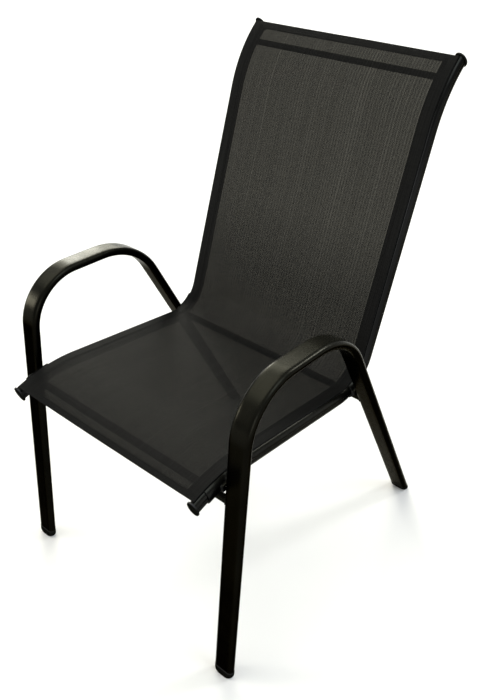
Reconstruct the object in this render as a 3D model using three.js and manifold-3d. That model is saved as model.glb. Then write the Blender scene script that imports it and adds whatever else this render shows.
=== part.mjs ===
// Stacking patio chair: two bent steel leg hoops joined by two crossbars, and a
// one-piece mesh sling stretched between a pair of slotted side rails.
// Millimetres, +Z up. The chair faces -Y, and +X is on the sitter's left.

import * as THREE from 'three';
import { mergeVertices } from 'three/addons/utils/BufferGeometryUtils.js';
import Module from 'manifold-3d';

// Running gap left between two pieces that touch on the real chair
const clearance = 0.3;
// How far a cutting tool runs past the piece that it cuts
const overrun = 6;
// Vertices closer than this are one vertex
const weldDistance = 0.0005;

// Leg hoop: one flat-oval tube bent into front leg, arm and rear leg.
// Its corners lie in the hoop's plane: y back from the front foot, z up from the floor.
const hoopTubeWidth = 40;
const hoopTubeThickness = 16;
const hoopTubeWall = 1.2;
const hoopFootSpacing = 505.4;
const hoopArmSpacing = 494.2;
const hoopFrontTopY = 53.8;
const hoopFrontTopZ = 597.5;
const hoopRearTopY = 299.4;
const hoopRearTopZ = 586.8;
const hoopRearFootY = 617.8;
const hoopFrontBendRadius = 96;
const hoopRearBendRadius = 152;
const hoopRoundSteps = 6;

// Foot cap: a plastic sole under the tube with a plug inside it
const footSoleHeight = 16;
const footSoleProud = 0.4;
const footCornerRadius = 8;
const footCornerSteps = 4;
const footPlugLength = 22;

// Crossbars: round tubes between the legs, each a gap below the brackets' clips
const crossbarDiameter = 14;
const crossbarWall = 1.2;
const frontCrossbarGap = 3;
const rearCrossbarGap = 1.2;
const crossbarSides = 12;

// Side rail: one slotted tube bent into seat side and back side.
// Angles are degrees above the horizontal, looking from the front to the back.
const railSpacing = 428;
const railTubeWidth = 17;
const railTubeDepth = 29.2;
const railTubeWall = 1.2;
const railFrontY = -21.1;
const railFrontZ = 410.6;
const railFrontAngle = 17;
const railFrontLength = 4.5;
const railFrontBendRadius = 280;
const railSeatAngle = -7.5;
const railSeatLength = 269.4;
const railCornerRadius = 76.7;
const railBackAngle = 72;
const railBackLength = 412.6;
const railTopBendRadius = 217.5;
const railTopAngle = 41.5;
const railTopLength = 10.3;
const railSlotWidth = 3.4;
const railSlotOffset = 1.5;
const railOutlineSteps = 22;
// Groove along both flanks of the rail, as a share of its width and of its depth
const railGrooveShare = 0.16;
const railGrooveSpreadShare = 0.15;

// Rail end cap: an oval flange with a plug inside the rail
const railCapProud = 2.4;
const railCapThickness = 2.2;
const railCapBevel = 0.8;
const railCapPlugLength = 12;
const railCapSteps = 20;

// Sling: mesh sheet with its side hems turned down into the slots round two rods
const slingThickness = 1.2;
const slingSetback = 2.4;
const slingSeatSag = 8;
const slingFrontSag = 2.5;
const slingCornerLift = 8;
const slingBackSag = 5;
const slingWidthSteps = 8;
const slingSeatRows = 6;
const hemRodDiameter = 6;
const hemRodSides = 8;
const hemRodSetback = 16;

// Spreader: a rod between the rails, behind the top of the sling
const spreaderDiameter = 12;
const spreaderFromTop = 36.5;
const spreaderSeat = 4;
const spreaderSides = 12;

// Rail bracket: a steel clip round the rail with a pad against the leg. The clip
// reaches from its bolt towards the front and towards the back of the rail.
const clipThickness = 2.2;
const clipTopAngle = 68;
const clipBottomAngle = -75;
const clipSteps = 10;
const frontClipForward = 36.5;
const frontClipBack = 9.5;
const rearClipForward = 11.25;
const rearClipBack = 36.75;
const padLength = 20;
const padTop = 5;
const padBottom = -9;
const padRoot = 1.5;

// Bolt through rail, bracket and leg, into a threaded insert in the leg
const boltDiameter = 6;
const boltHeadDiameter = 10.5;
const boltHeadHeight = 3.3;
const boltSocketDiameter = 4.4;
const boltSocketDepth = 2;
const boltSides = 12;
const insertDiameter = 9;
const insertLength = 11;
const insertTail = 1;

// A bend gets one station for each of these turns, in degrees
const bendStep = 7.5;
// Times that a search for a crossing halves its range
const halvings = 40;
// Places that follow from a crossing are rounded to this, as a drawing gives them
const drawingStep = 0.5;

const degrees = Math.PI / 180;
const railHalfSpacing = railSpacing / 2;
const railHalfWidth = railTubeWidth / 2;
const railHalfDepth = railTubeDepth / 2;
const wasm = await Module();
wasm.setup();

const materials = {
  frame: new THREE.MeshStandardMaterial({ color: 0x211e1a, roughness: 0.42, metalness: 0.35 }),
  mesh: new THREE.MeshStandardMaterial({ color: 0x2b2b28, roughness: 0.85, metalness: 0 }),
  plastic: new THREE.MeshStandardMaterial({ color: 0x17160f, roughness: 0.55, metalness: 0 }),
  steel: new THREE.MeshStandardMaterial({ color: 0x8c8a85, roughness: 0.4, metalness: 0.9 }),
};

// A curve through the stations of a bent tube, one step of the curve for each
// station, so that bends are finer than straights. It lies in a plane of constant x.
class StationPath extends THREE.Curve {
  constructor(stations, x) {
    super();
    this.stations = stations;
    this.x = x;
  }

  between(t) {
    const place = t * (this.stations.length - 1);
    const index = Math.min(Math.floor(place), this.stations.length - 2);
    return [this.stations[index], this.stations[index + 1], place - index];
  }

  getPoint(t, target = new THREE.Vector3()) {
    const [from, to, share] = this.between(t);
    const y = THREE.MathUtils.lerp(from.y, to.y, share);
    const z = THREE.MathUtils.lerp(from.z, to.z, share);
    return target.set(this.x, y, z);
  }

  getPointAt(t, target) {
    return this.getPoint(t, target);
  }

  getTangentAt(t, target = new THREE.Vector3()) {
    const [from, to, share] = this.between(t);
    const heading = THREE.MathUtils.lerp(from.heading, to.heading, share);
    return target.set(0, Math.cos(heading), Math.sin(heading));
  }
}

// Stations of a tube that starts at a place and a heading, then runs straight
// ({ length }) and bends ({ radius, heading }) in turn
function stationsAlong(start, runs) {
  const stations = [{ ...start, along: 0 }];
  for (const run of runs) {
    const from = stations[stations.length - 1];
    if (run.radius === undefined) {
      stations.push({
        y: from.y + run.length * Math.cos(from.heading),
        z: from.z + run.length * Math.sin(from.heading),
        heading: from.heading,
        along: from.along + run.length,
      });
    } else {
      addBend(stations, from, run);
    }
  }
  return stations;
}

function addBend(stations, from, { radius, heading }) {
  const turn = heading - from.heading;
  const side = Math.sign(turn);
  const steps = Math.ceil(Math.abs(turn) / (bendStep * degrees));
  for (let step = 1; step <= steps; step += 1) {
    const turned = from.heading + (turn * step) / steps;
    stations.push({
      y: from.y + side * radius * (Math.sin(turned) - Math.sin(from.heading)),
      z: from.z - side * radius * (Math.cos(turned) - Math.cos(from.heading)),
      heading: turned,
      along: from.along + (radius * Math.abs(turn) * step) / steps,
    });
  }
}

// The station at a distance along the tube, moved off the centre line by offset
function stationAt(stations, along, offset = 0) {
  const after = Math.max(1, stations.findIndex((station) => station.along >= along));
  const from = stations[after - 1];
  const to = stations[after];
  const share = (along - from.along) / (to.along - from.along);
  const heading = THREE.MathUtils.lerp(from.heading, to.heading, share);
  return {
    y: THREE.MathUtils.lerp(from.y, to.y, share) - offset * Math.sin(heading),
    z: THREE.MathUtils.lerp(from.z, to.z, share) + offset * Math.cos(heading),
    heading,
    along,
  };
}

// The stretch of stations between two distances, moved off the centre line by offset
function stretch(stations, start, end, offset = 0) {
  const inner = stations.filter((station) => station.along > start && station.along < end);
  const alongs = [start, ...inner.map((station) => station.along), end];
  return alongs.map((along) => stationAt(stations, along, offset));
}

// A section swept along stations. Its points are [across, out]: across is +X, and
// out is up on a level run that goes back.
function sweep(stations, x, outline, hole) {
  const toSection = ([across, out]) => new THREE.Vector2(-across, out);
  const shape = new THREE.Shape(outline.map(toSection));
  if (hole) {
    shape.holes.push(new THREE.Path(hole.map(toSection)));
  }
  return new THREE.ExtrudeGeometry(shape, {
    steps: stations.length - 1,
    extrudePath: new StationPath(stations, x),
    bevelEnabled: false,
  });
}

function toSolid(geometry) {
  const bare = geometry.clone();
  bare.deleteAttribute('normal');
  bare.deleteAttribute('uv');
  const merged = mergeVertices(bare, weldDistance);
  return new wasm.Manifold(new wasm.Mesh({
    numProp: 3,
    vertProperties: new Float32Array(merged.attributes.position.array),
    triVerts: new Uint32Array(merged.index.array),
  }));
}

function toGeometry(solid) {
  const { vertProperties, triVerts } = solid.getMesh();
  const geometry = new THREE.BufferGeometry();
  geometry.setAttribute('position', new THREE.BufferAttribute(vertProperties, 3));
  geometry.setIndex(new THREE.BufferAttribute(triVerts, 1));
  geometry.computeVertexNormals();
  return geometry;
}

function cut(geometry, cutters) {
  let solid = toSolid(geometry);
  for (const cutter of cutters) {
    solid = solid.subtract(toSolid(cutter));
  }
  return toGeometry(solid);
}

function join(geometries) {
  let solid = toSolid(geometries[0]);
  for (const geometry of geometries.slice(1)) {
    solid = solid.add(toSolid(geometry));
  }
  return toGeometry(solid);
}

function common(geometry, other) {
  return toGeometry(toSolid(geometry).intersect(toSolid(other)));
}

// A round bar along X between two places
function barAlongX(diameter, fromX, toX, y, z, sides) {
  const bar = new THREE.CylinderGeometry(
    diameter / 2, diameter / 2, Math.abs(toX - fromX), sides);
  bar.rotateZ(Math.PI / 2);
  bar.translate((fromX + toX) / 2, y, z);
  return bar;
}

// Flat-oval outline: two straight flats joined by half circles
function flatOval(width, thickness) {
  const radius = thickness / 2;
  const points = [];
  for (const side of [1, -1]) {
    for (let step = 0; step <= hoopRoundSteps; step += 1) {
      const angle = side * 90 - side * 180 * (step / hoopRoundSteps);
      const across = side * (width / 2 - radius) + side * radius * Math.cos(angle * degrees);
      points.push([across, radius * Math.sin(angle * degrees)]);
    }
  }
  return points;
}

// A point on the rail's outline, pulled in by inset. Angle 0 points outboard and
// 90 points at the sling.
function railPoint(angle, inset) {
  const out = (railHalfDepth - inset) * Math.sin(angle);
  const spread = railGrooveSpreadShare * railHalfDepth;
  const groove = railGrooveShare * Math.exp(-((out / spread) ** 2));
  return [(railHalfWidth - inset) * Math.cos(angle) * (1 - groove), out];
}

// Rail outline from one lip of the slot round to the other, as outboard side +1 or -1
function railWallPoints(inset, side) {
  const width = railHalfWidth - inset;
  const outerLip = Math.acos((railSlotOffset + railSlotWidth / 2) / width);
  const innerLip = Math.acos((railSlotOffset - railSlotWidth / 2) / width);
  const sweepAngle = 2 * Math.PI + outerLip - innerLip;
  const points = [];
  for (let step = 0; step <= railOutlineSteps; step += 1) {
    const angle = innerLip + (sweepAngle * step) / railOutlineSteps;
    const [across, out] = railPoint(angle, inset);
    points.push([side * across, out]);
  }
  return points;
}

function railSection(side) {
  return [...railWallPoints(0, side), ...railWallPoints(railTubeWall, side).reverse()];
}

const railStations = stationsAlong(
  { y: railFrontY, z: railFrontZ, heading: railFrontAngle * degrees },
  [
    { length: railFrontLength },
    { radius: railFrontBendRadius, heading: railSeatAngle * degrees },
    { length: railSeatLength },
    { radius: railCornerRadius, heading: railBackAngle * degrees },
    { length: railBackLength },
    { radius: railTopBendRadius, heading: railTopAngle * degrees },
    { length: railTopLength },
  ],
);
const railLength = railStations[railStations.length - 1].along;
const railCornerStart = railFrontLength
  + railFrontBendRadius * (railFrontAngle - railSeatAngle) * degrees + railSeatLength;
const railCornerEnd = railCornerStart
  + railCornerRadius * (railBackAngle - railSeatAngle) * degrees;

const frontLegHeading = Math.atan2(hoopFrontTopZ, hoopFrontTopY);
const armHeading = Math.atan2(hoopRearTopZ - hoopFrontTopZ, hoopRearTopY - hoopFrontTopY);
const rearLegHeading = Math.atan2(-hoopRearTopZ, hoopRearFootY - hoopRearTopY);

// Stations of the hoop from the front floor point to the rear floor point
function hoopStationList() {
  const frontCut = hoopFrontBendRadius * Math.tan((frontLegHeading - armHeading) / 2);
  const rearCut = hoopRearBendRadius * Math.tan((armHeading - rearLegHeading) / 2);
  const frontLeg = Math.hypot(hoopFrontTopY, hoopFrontTopZ);
  const arm = Math.hypot(hoopRearTopY - hoopFrontTopY, hoopRearTopZ - hoopFrontTopZ);
  const rearLeg = Math.hypot(hoopRearFootY - hoopRearTopY, hoopRearTopZ);
  return stationsAlong({ y: 0, z: 0, heading: frontLegHeading }, [
    { length: frontLeg - frontCut },
    { radius: hoopFrontBendRadius, heading: armHeading },
    { length: arm - frontCut - rearCut },
    { radius: hoopRearBendRadius, heading: rearLegHeading },
    { length: rearLeg - rearCut },
  ]);
}

const hoopStations = hoopStationList();
const hoopLength = hoopStations[hoopStations.length - 1].along;

// The hoop's plane leans in a little from the feet to the arms
const hoopLean = Math.atan2(hoopFootSpacing - hoopArmSpacing, 2 * hoopFrontTopZ);

function hoopCentreX(z) {
  return hoopFootSpacing / 2 - z * Math.tan(hoopLean);
}

function leaned(geometry, side) {
  geometry.rotateY(-side * hoopLean);
  geometry.translate((side * hoopFootSpacing) / 2, 0, 0);
  return geometry;
}

// Where the legs' centre lines stand at a height
function frontLegY(z) {
  return (hoopFrontTopY * z) / hoopFrontTopZ;
}

function rearLegY(z) {
  return hoopRearFootY + ((hoopRearTopY - hoopRearFootY) * z) / hoopRearTopZ;
}

// Where the rail's centre line, or a line offset from it, crosses a leg's centre line
function crossing(legY, offset = 0) {
  let near = 0;
  let far = railLength;
  const beyond = (along) => {
    const station = stationAt(railStations, along, offset);
    return station.y - legY(station.z);
  };
  for (let step = 0; step < halvings; step += 1) {
    const middle = (near + far) / 2;
    if (beyond(middle) < 0) {
      near = middle;
    } else {
      far = middle;
    }
  }
  return stationAt(railStations, near, offset);
}

function rounded(place) {
  return Math.round(place / drawingStep) * drawingStep;
}

const corners = [
  {
    name: 'front', legY: frontLegY, bolt: crossing(frontLegY),
    forward: frontClipForward, back: frontClipBack, crossbarGap: frontCrossbarGap,
  },
  {
    name: 'rear', legY: rearLegY, bolt: crossing(rearLegY),
    forward: rearClipForward, back: rearClipBack, crossbarGap: rearCrossbarGap,
  },
];

// The leg's inner edge stands at this x where the rail crosses it
function legFaceX(corner) {
  return hoopCentreX(corner.bolt.z) - hoopTubeWidth / 2;
}

function boltHole(corner, side, diameter, fromX, toX) {
  const { y, z } = corner.bolt;
  return barAlongX(diameter, side * fromX, side * toX, y, z, boltSides);
}

function legHoop(side) {
  const stations = stretch(
    hoopStations, footSoleHeight + clearance, hoopLength - footSoleHeight - clearance);
  const tube = leaned(sweep(
    stations, 0,
    flatOval(hoopTubeWidth, hoopTubeThickness),
    flatOval(hoopTubeWidth - 2 * hoopTubeWall, hoopTubeThickness - 2 * hoopTubeWall),
  ), side);
  const holes = corners.map((corner) => boltHole(
    corner, side, insertDiameter + 2 * clearance,
    legFaceX(corner) - overrun, legFaceX(corner) + hoopTubeWidth / 2));
  return cut(tube, holes);
}

// Outer shape of both hoops, grown by the clearance, that the crossbars are coped to
function hoopEnvelope(side) {
  const width = hoopTubeWidth + 2 * clearance;
  const thickness = hoopTubeThickness + 2 * clearance;
  return leaned(sweep(hoopStations, 0, flatOval(width, thickness)), side);
}

// Block that a foot cap is trimmed to: flat on the floor, with its two lower
// corners rounded as seen from the front
function footBlock(side) {
  const half = hoopTubeWidth / 2 + footSoleProud;
  const flat = half - footCornerRadius;
  const top = footSoleHeight + footPlugLength + overrun;
  const shape = new THREE.Shape();
  shape.moveTo(-half, top);
  shape.lineTo(-half, footCornerRadius);
  shape.absarc(-flat, footCornerRadius, footCornerRadius, Math.PI, Math.PI * 3 / 2);
  shape.lineTo(flat, 0);
  shape.absarc(flat, footCornerRadius, footCornerRadius, Math.PI * 3 / 2, Math.PI * 2);
  shape.lineTo(half, top);
  const block = new THREE.ExtrudeGeometry(shape, {
    depth: hoopRearFootY * 3, curveSegments: footCornerSteps, bevelEnabled: false,
  });
  block.rotateX(Math.PI / 2);
  block.translate((side * hoopFootSpacing) / 2, hoopRearFootY * 2, 0);
  return block;
}

// One foot cap; the end of the hoop that it closes is given by two distances
// along the tube: where it meets the floor, and which way the tube goes up
function footCap(side, floorAlong, upward) {
  const width = hoopTubeWidth + 2 * footSoleProud;
  const thickness = hoopTubeThickness + 2 * footSoleProud;
  const inner = 2 * (hoopTubeWall + clearance);
  const piece = (start, end, outline) => {
    const ends = [floorAlong + upward * start, floorAlong + upward * end];
    return leaned(sweep(straightRun(Math.min(...ends), Math.max(...ends)), 0, outline), side);
  };
  const sole = piece(-overrun, footSoleHeight, flatOval(width, thickness));
  const plug = piece(
    footSoleHeight / 2, footSoleHeight + footPlugLength,
    flatOval(hoopTubeWidth - inner, hoopTubeThickness - inner));
  return common(join([sole, plug]), footBlock(side));
}

// Two stations on the hoop's first or last straight, run on below the floor if asked
function straightRun(start, end) {
  return [start, end].map((along) => {
    const floor = along > hoopLength / 2 ? hoopStations[hoopStations.length - 1] : hoopStations[0];
    const reach = along - floor.along;
    return {
      y: floor.y + reach * Math.cos(floor.heading),
      z: floor.z + reach * Math.sin(floor.heading),
      heading: floor.heading,
      along,
    };
  });
}

// A crossbar stands on the legs' centre lines, a gap below the brackets' clips
function crossbar({ legY, crossbarGap }) {
  const drop = railHalfDepth + clearance + clipThickness + crossbarGap + crossbarDiameter / 2;
  const z = rounded(crossing(legY, -drop).z);
  const y = legY(z);
  const reach = hoopCentreX(z);
  const outer = barAlongX(crossbarDiameter, -reach, reach, y, z, crossbarSides);
  const bore = barAlongX(
    crossbarDiameter - 2 * crossbarWall, -reach - overrun, reach + overrun, y, z, crossbarSides);
  return cut(outer, [bore, hoopEnvelope(1), hoopEnvelope(-1)]);
}

function sideRail(side) {
  const tube = sweep(railStations, side * railHalfSpacing, railSection(side));
  const holes = corners.map((corner) => boltHole(
    corner, side, boltDiameter + 2 * clearance,
    railHalfSpacing - railTubeWidth, railHalfSpacing + railTubeWidth));
  const spreader = spreaderStation();
  holes.push(barAlongX(
    spreaderDiameter + 2 * clearance,
    side * (railHalfSpacing - railTubeWidth), side * railHalfSpacing,
    spreader.y, spreader.z, spreaderSides));
  return cut(tube, holes);
}

function spreaderStation() {
  return stationAt(railStations, railLength - spreaderFromTop);
}

function topSpreader() {
  const { y, z } = spreaderStation();
  const reach = railHalfSpacing - railHalfWidth + spreaderSeat;
  return barAlongX(spreaderDiameter, -reach, reach, y, z, spreaderSides);
}

// Oval outline that follows the rail's, grown by proud
function railOval(proud) {
  const points = [];
  for (let step = 0; step < railCapSteps; step += 1) {
    const angle = (2 * Math.PI * step) / railCapSteps;
    points.push(new THREE.Vector2(
      (railHalfWidth + proud) * Math.cos(angle), (railHalfDepth + proud) * Math.sin(angle)));
  }
  return new THREE.Shape(points);
}

// Stands a piece drawn on x and y, and built up along z, at one end of a rail
function atRailEnd(geometry, side, top) {
  const station = top ? railStations[railStations.length - 1] : railStations[0];
  const along = new THREE.Vector3(0, Math.cos(station.heading), Math.sin(station.heading));
  const out = new THREE.Vector3(0, -Math.sin(station.heading), Math.cos(station.heading));
  const away = along.multiplyScalar(top ? 1 : -1);
  const across = new THREE.Vector3(top ? -1 : 1, 0, 0);
  const matrix = new THREE.Matrix4().makeBasis(across, out, away);
  matrix.setPosition(side * railHalfSpacing, station.y, station.z);
  return geometry.applyMatrix4(matrix);
}

function railCap(side, top) {
  const flange = new THREE.ExtrudeGeometry(railOval(railCapProud - railCapBevel), {
    depth: railCapThickness,
    bevelThickness: railCapBevel,
    bevelSize: railCapBevel,
    bevelSegments: 2,
  });
  flange.translate(0, 0, railCapBevel + clearance);
  const plug = new THREE.ExtrudeGeometry(railOval(-railTubeWall - slingThickness - clearance), {
    depth: railCapPlugLength + railCapThickness,
    bevelEnabled: false,
  });
  plug.scale(1 - railGrooveShare, 1, 1);
  plug.translate(0, 0, -railCapPlugLength);
  return atRailEnd(join([flange, plug]), side, top);
}

// The rod in the side hem lies right under the slot
const hemRodOut = railHalfDepth - railTubeWall - slingThickness - hemRodDiameter / 2;

function hemRod(side) {
  const outline = [];
  for (let step = 0; step < hemRodSides; step += 1) {
    const angle = (2 * Math.PI * (step + 1 / 2)) / hemRodSides;
    outline.push([
      (hemRodDiameter / 2) * Math.cos(angle), (hemRodDiameter / 2) * Math.sin(angle)]);
  }
  const stations = stretch(railStations, hemRodSetback, railLength - hemRodSetback, hemRodOut);
  return sweep(stations, side * (railHalfSpacing + railSlotOffset), outline);
}

// How far the middle of the sheet stands off the line between the rails, at a
// distance along them: it sags at its front edge, on the seat and on the back, and
// it lifts where it bridges the corner
function slack(along) {
  const swell = (start, end) => Math.sin((Math.PI * (along - start)) / (end - start)) ** 2;
  if (along < railCornerStart) {
    const front = 1 - (along - slingSetback) / (railCornerStart - slingSetback);
    return -slingFrontSag * front - slingSeatSag * swell(slingSetback, railCornerStart);
  }
  if (along < railCornerEnd) {
    return slingCornerLift * swell(railCornerStart, railCornerEnd);
  }
  return -slingBackSag * swell(railCornerEnd, railLength - slingSetback);
}

// Section of the sling across the chair: the sheet over both rails, and the side
// hems turned down through the slots
function slingSection() {
  const edge = railHalfSpacing + railSlotOffset;
  const under = railHalfDepth + clearance;
  const hem = hemRodOut + hemRodDiameter / 2 + clearance;
  const inner = edge - slingThickness / 2;
  const outer = edge + slingThickness / 2;
  const points = [[-inner, hem]];
  for (let step = 0; step <= slingWidthSteps; step += 1) {
    points.push([inner * ((2 * step) / slingWidthSteps - 1), under]);
  }
  points.push([inner, hem], [outer, hem]);
  for (let step = slingWidthSteps; step >= 0; step -= 1) {
    points.push([outer * ((2 * step) / slingWidthSteps - 1), under + slingThickness]);
  }
  points.push([-outer, hem]);
  return new THREE.Shape(points.map(([across, out]) => new THREE.Vector2(across, out)));
}

// Distances along the rail at which the sling has a row of points
function slingRows() {
  const rows = stretch(railStations, slingSetback, railLength - slingSetback)
    .map((station) => station.along);
  const longest = railSeatLength / slingSeatRows;
  return rows.flatMap((row, index) => {
    if (index === rows.length - 1) {
      return [row];
    }
    const parts = Math.ceil((rows[index + 1] - row) / longest);
    const gap = (rows[index + 1] - row) / parts;
    return Array.from({ length: parts }, (_, part) => row + gap * part);
  });
}

// The sheet is drawn straight, one unit of depth for each row, and then laid on the rails
function sling() {
  const rows = slingRows();
  const geometry = new THREE.ExtrudeGeometry(slingSection(), {
    depth: rows.length - 1, steps: rows.length - 1, bevelEnabled: false,
  });
  const places = geometry.attributes.position;
  for (let index = 0; index < places.count; index += 1) {
    const across = places.getX(index);
    const along = rows[Math.round(places.getZ(index))];
    const middle = 1 - Math.min(1, Math.abs(across) / railHalfSpacing) ** 2;
    const station = stationAt(railStations, along, places.getY(index) + slack(along) * middle);
    places.setXYZ(index, -across, station.y, station.z);
  }
  geometry.computeVertexNormals();
  return geometry;
}

// The clip's section hugs the outboard half of the rail
function clipSection(side) {
  const arc = (inset) => Array.from({ length: clipSteps + 1 }, (_, step) => {
    const span = clipTopAngle - clipBottomAngle;
    const angle = (clipBottomAngle + (span * step) / clipSteps) * degrees;
    const width = railHalfWidth - inset;
    return [side * width * Math.cos(angle), (railHalfDepth - inset) * Math.sin(angle)];
  });
  return [...arc(-clearance), ...arc(-clearance - clipThickness).reverse()];
}

// The pad stands on the clip and reaches the leg's inner edge
function padSection(side, corner) {
  const root = railHalfWidth + padRoot;
  const tip = legFaceX(corner) - clearance - railHalfSpacing;
  return [
    [side * root, padBottom], [side * tip, padBottom], [side * tip, padTop], [side * root, padTop]];
}

function railBracket(side, corner) {
  const x = side * railHalfSpacing;
  const { along } = corner.bolt;
  const start = rounded(along - corner.forward);
  const end = rounded(along + corner.back);
  const clip = sweep(stretch(railStations, start, end), x, clipSection(side));
  const pad = sweep(
    stretch(railStations, along - padLength / 2, along + padLength / 2),
    x, padSection(side, corner));
  const hole = boltHole(
    corner, side, boltDiameter + 2 * clearance, railHalfSpacing, legFaceX(corner) + overrun);
  return cut(join([clip, pad]), [hole]);
}

function railBolt(side, corner) {
  const seat = railHalfSpacing - railHalfWidth - clearance;
  const tip = legFaceX(corner) + insertLength;
  const head = boltHole(corner, side, boltHeadDiameter, seat - boltHeadHeight, seat);
  const shank = boltHole(corner, side, boltDiameter, seat - boltHeadHeight / 2, tip);
  const socket = boltHole(
    corner, side, boltSocketDiameter,
    seat - boltHeadHeight - overrun, seat - boltHeadHeight + boltSocketDepth);
  return cut(join([head, shank]), [socket]);
}

function threadedInsert(side, corner) {
  const start = legFaceX(corner) + insertTail;
  const end = start + insertLength;
  const sleeve = boltHole(corner, side, insertDiameter, start, end);
  const bore = boltHole(
    corner, side, boltDiameter + 2 * clearance, start - overrun, end + overrun);
  return cut(sleeve, [bore]);
}

const chair = new THREE.Group();

function place(name, geometry, material) {
  const mesh = new THREE.Mesh(geometry, material);
  mesh.name = name;
  chair.add(mesh);
}

for (const [sideName, side] of [['left', 1], ['right', -1]]) {
  place(`${sideName}_leg_hoop`, legHoop(side), materials.frame);
  place(`${sideName}_front_foot_cap`, footCap(side, 0, 1), materials.plastic);
  place(`${sideName}_rear_foot_cap`, footCap(side, hoopLength, -1), materials.plastic);
  place(`${sideName}_sling_rail`, sideRail(side), materials.frame);
  place(`${sideName}_front_rail_cap`, railCap(side, false), materials.plastic);
  place(`${sideName}_top_rail_cap`, railCap(side, true), materials.plastic);
  place(`${sideName}_hem_rod`, hemRod(side), materials.plastic);
  for (const corner of corners) {
    place(`${sideName}_${corner.name}_rail_bracket`, railBracket(side, corner), materials.frame);
    place(`${sideName}_${corner.name}_rail_bolt`, railBolt(side, corner), materials.steel);
    place(`${sideName}_${corner.name}_threaded_insert`, threadedInsert(side, corner), materials.steel);
  }
}
for (const corner of corners) {
  place(`${corner.name}_crossbar`, crossbar(corner), materials.frame);
}
place('top_spreader', topSpreader(), materials.frame);
place('sling', sling(), materials.mesh);

// The origin is on the floor, under the middle of the chair
const extent = new THREE.Box3().setFromObject(chair);
chair.position.y = -(extent.min.y + extent.max.y) / 2;

export default chair;
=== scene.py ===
import math

import bmesh
import bpy
from mathutils import Matrix, Vector, noise


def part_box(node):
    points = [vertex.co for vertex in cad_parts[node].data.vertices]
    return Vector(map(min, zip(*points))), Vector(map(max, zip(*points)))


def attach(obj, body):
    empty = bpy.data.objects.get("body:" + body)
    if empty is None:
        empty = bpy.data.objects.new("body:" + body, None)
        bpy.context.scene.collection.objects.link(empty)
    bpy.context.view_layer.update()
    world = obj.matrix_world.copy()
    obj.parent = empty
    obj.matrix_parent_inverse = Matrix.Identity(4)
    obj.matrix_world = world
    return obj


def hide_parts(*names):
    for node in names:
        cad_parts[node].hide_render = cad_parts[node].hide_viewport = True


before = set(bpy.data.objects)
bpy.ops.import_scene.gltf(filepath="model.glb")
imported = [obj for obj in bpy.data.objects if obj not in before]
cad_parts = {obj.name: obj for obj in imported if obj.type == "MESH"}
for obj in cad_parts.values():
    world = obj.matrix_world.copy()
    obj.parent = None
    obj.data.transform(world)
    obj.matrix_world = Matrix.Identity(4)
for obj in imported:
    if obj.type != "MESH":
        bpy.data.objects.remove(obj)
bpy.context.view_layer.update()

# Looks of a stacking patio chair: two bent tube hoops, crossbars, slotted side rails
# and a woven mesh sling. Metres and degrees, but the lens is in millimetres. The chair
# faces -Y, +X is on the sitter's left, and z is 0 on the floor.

SIDES = (("left", 1), ("right", -1))

# Camera, at the photograph's viewpoint
CAMERA_PLACE = (0.7723, -0.8955, 1.2428)
CAMERA_YAW = 40.031
CAMERA_PITCH = 34.654
CAMERA_ROLL = 0.401
CAMERA_LENS = 38.40
CAMERA_SENSOR = 36.0

# Leg hoops: corners in the hoop's own plane, y back from the front foot
HOOP_WIDTH = 0.040
HOOP_THICKNESS = 0.016
HOOP_WALL = 0.0012
HOOP_FOOT_SPACING = 0.5054
HOOP_ARM_SPACING = 0.4942
HOOP_FRONT_TOP = (0.0538, 0.5975)
HOOP_REAR_TOP = (0.2994, 0.5868)
HOOP_REAR_FOOT_Y = 0.6178
HOOP_FRONT_BEND = 0.096
HOOP_REAR_BEND = 0.152

# Foot caps
SOLE_HEIGHT = 0.016
SOLE_PROUD = 0.0004
SOLE_CORNER = 0.008
SOLE_EDGE = 0.0007
SOLE_RING_SHARES = (0, 0.012, 0.03, 0.06, 0.11, 0.18, 0.27, 0.38, 0.55, 0.75, 0.96, 1)
PLUG_LENGTH = 0.022

# Crossbars
CROSSBAR_RADIUS = 0.007
FRONT_CROSSBAR_HEIGHT = 0.395
REAR_CROSSBAR_HEIGHT = 0.3685
CROSSBAR_RING_SHARES = (-1, -0.97, -0.5, 0, 0.5, 0.97, 1)
WELD_RADIUS = 0.0017
WELD_RIPPLES = 26
WELD_WAVES = 3
WELD_UNEVEN_SHARE = 0.10

# Side rails
RAIL_SPACING = 0.428
RAIL_WIDTH = 0.017
RAIL_DEPTH = 0.0292
RAIL_WALL = 0.0012
RAIL_FRONT = (-0.0211, 0.4106)
RAIL_FRONT_ANGLE = 17
RAIL_FRONT_LENGTH = 0.0045
RAIL_FRONT_BEND = 0.280
RAIL_SEAT_ANGLE = -7.5
RAIL_SEAT_LENGTH = 0.2694
RAIL_CORNER_BEND = 0.0767
RAIL_BACK_ANGLE = 72
RAIL_BACK_LENGTH = 0.4126
RAIL_TOP_BEND = 0.2175
RAIL_TOP_ANGLE = 41.5
RAIL_TOP_LENGTH = 0.0103
SLOT_WIDTH = 0.0034
SLOT_OFFSET = 0.0015
GROOVE_SHARE = 0.16
GROOVE_SPREAD_SHARE = 0.15
LIP_BULGE_SHARE = 0.8

# Rail end caps. The crown's rings: how far out each lies, and how far it is drawn in
CAP_PROUD = 0.0024
CAP_EDGE = 0.0004
CAP_CROWN = (
    (0.0024, 0.0), (0.0030, 0.0002), (0.0034, 0.0007), (0.0037, 0.0016),
    (0.0039, 0.0032), (0.0040, 0.0052), (0.0041, 0.0076),
)
CAP_PLUG_LENGTH = 0.012
CAP_PLUG_TAPER = 0.0006
CAP_PLUG_POINT = 0.0010

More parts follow.
